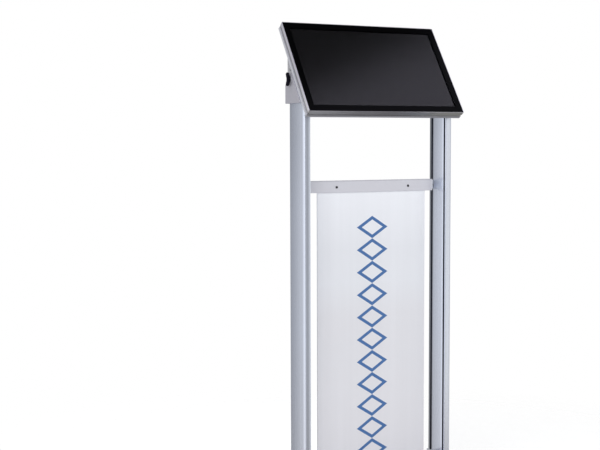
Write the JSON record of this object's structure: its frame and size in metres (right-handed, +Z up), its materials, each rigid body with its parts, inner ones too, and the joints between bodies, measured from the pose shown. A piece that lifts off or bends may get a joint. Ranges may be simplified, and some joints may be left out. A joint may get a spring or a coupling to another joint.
{
  "type": "digital signage stand",
  "caption": "Floor stand with deep extruded posts, a framed information panel between crossbars and a tilting flat screen clamped by wing knobs.",
  "frame": {"origin": "floor level under the middle of the base plate", "axes": "+X to the viewer's right, +Y to the back, +Z up; the screen faces -Y and leans back"},
  "size_m": [0.56, 0.42, 1.4555],
  "materials": {
    "base_steel": "satin",
    "rubber": "matte",
    "foot_casting": "satin",
    "screw_steel": "satin",
    "post_aluminium": "satin anodised",
    "bar_aluminium": "satin anodised",
    "cap_plastic": "satin",
    "bracket_steel": "satin",
    "nut_steel": "satin",
    "dark_screw": "satin black",
    "panel_white": "satin",
    "bracket_casting": "satin grey paint",
    "friction_fibre": "matte",
    "ear_steel": "satin grey paint",
    "rod_steel": "satin",
    "frame_metal": "satin silver grey",
    "screen_glass": "clear gloss",
    "screen_module": "matte black",
    "light_tray": "satin",
    "shell_metal": "satin grey",
    "circuit_board": "satin",
    "black_plastic": "matte",
    "socket_metal": "satin",
    "button_plastic": "satin",
    "knob_plastic": "satin black",
    "stud_steel": "satin"
  },
  "bodies": {
    "stand": {"base_plate": "base_steel", "rubber_feet": "rubber", "post_foot_left": "foot_casting", "post_foot_right": "foot_casting", "base_screws": "screw_steel", "post_left": "post_aluminium", "post_right": "post_aluminium", "upper_crossbar": "bar_aluminium", "lower_crossbar": "bar_aluminium", "slot_bracket_upper_left": "bracket_steel", "slot_bracket_upper_right": "bracket_steel", "slot_bracket_lower_left": "bracket_steel", "slot_bracket_lower_right": "bracket_steel", "slot_nuts": "nut_steel", "slot_screws": "screw_steel", "crossbar_screws": "screw_steel", "bar_end_cap_upper_left": "cap_plastic", "bar_end_cap_upper_right": "cap_plastic", "bar_end_cap_lower_left": "cap_plastic", "bar_end_cap_lower_right": "cap_plastic", "panel_screws": "dark_screw", "info_panel": "panel_white", "head_bracket_left": "bracket_casting", "head_bracket_right": "bracket_casting", "knob_washers": "nut_steel", "friction_discs": "friction_fibre"},
    "head": {"tilt_ear_left": "ear_steel", "tilt_ear_right": "ear_steel", "ear_screws": "screw_steel", "ear_nuts": "nut_steel", "ear_tie_rod": "rod_steel", "tie_rod_screws": "screw_steel", "front_frame": "frame_metal", "frame_corner_keys": "nut_steel", "cover_glass": "screen_glass", "lcd_panel": "screen_module", "backlight_unit": "light_tray", "panel_rails": "nut_steel", "rear_shell": "shell_metal", "shell_screws": "screw_steel", "service_cover": "shell_metal", "cover_screws": "screw_steel", "main_board": "circuit_board", "driver_board": "circuit_board", "speaker_left": "black_plastic", "speaker_right": "black_plastic", "dc_inlet": "black_plastic", "signal_sockets": "socket_metal", "power_switch": "black_plastic"},
    "button": {"power_button": "button_plastic"},
    "knob_left": {"clamp_knob_left": "knob_plastic", "clamp_stud_left": "stud_steel"},
    "knob_right": {"clamp_knob_right": "knob_plastic", "clamp_stud_right": "stud_steel"}
  },
  "joints": [
    {"name": "head_tilt", "type": "hinge", "parent": "stand", "child": "head", "pos_m": [0, 0.034, 1.2846], "axis": [-1, 0, 0], "range_deg": [-1.5, 55]},
    {"name": "knob_left_turn", "type": "hinge", "parent": "stand", "child": "knob_left", "pos_m": [-0.26, 0.034, 1.2846], "axis": [-1, 0, 0], "range_deg": [0, 270]},
    {"name": "knob_right_turn", "type": "hinge", "parent": "stand", "child": "knob_right", "pos_m": [0.26, 0.034, 1.2846], "axis": [1, 0, 0], "range_deg": [0, 270]},
    {"name": "power_button_press", "type": "slide", "parent": "head", "child": "button", "axis": [0, 0.5678, 0.8231], "range_m": [0, 0.0012], "stiffness_N_per_m": 500, "springref_m": -0.0006}
  ]
}
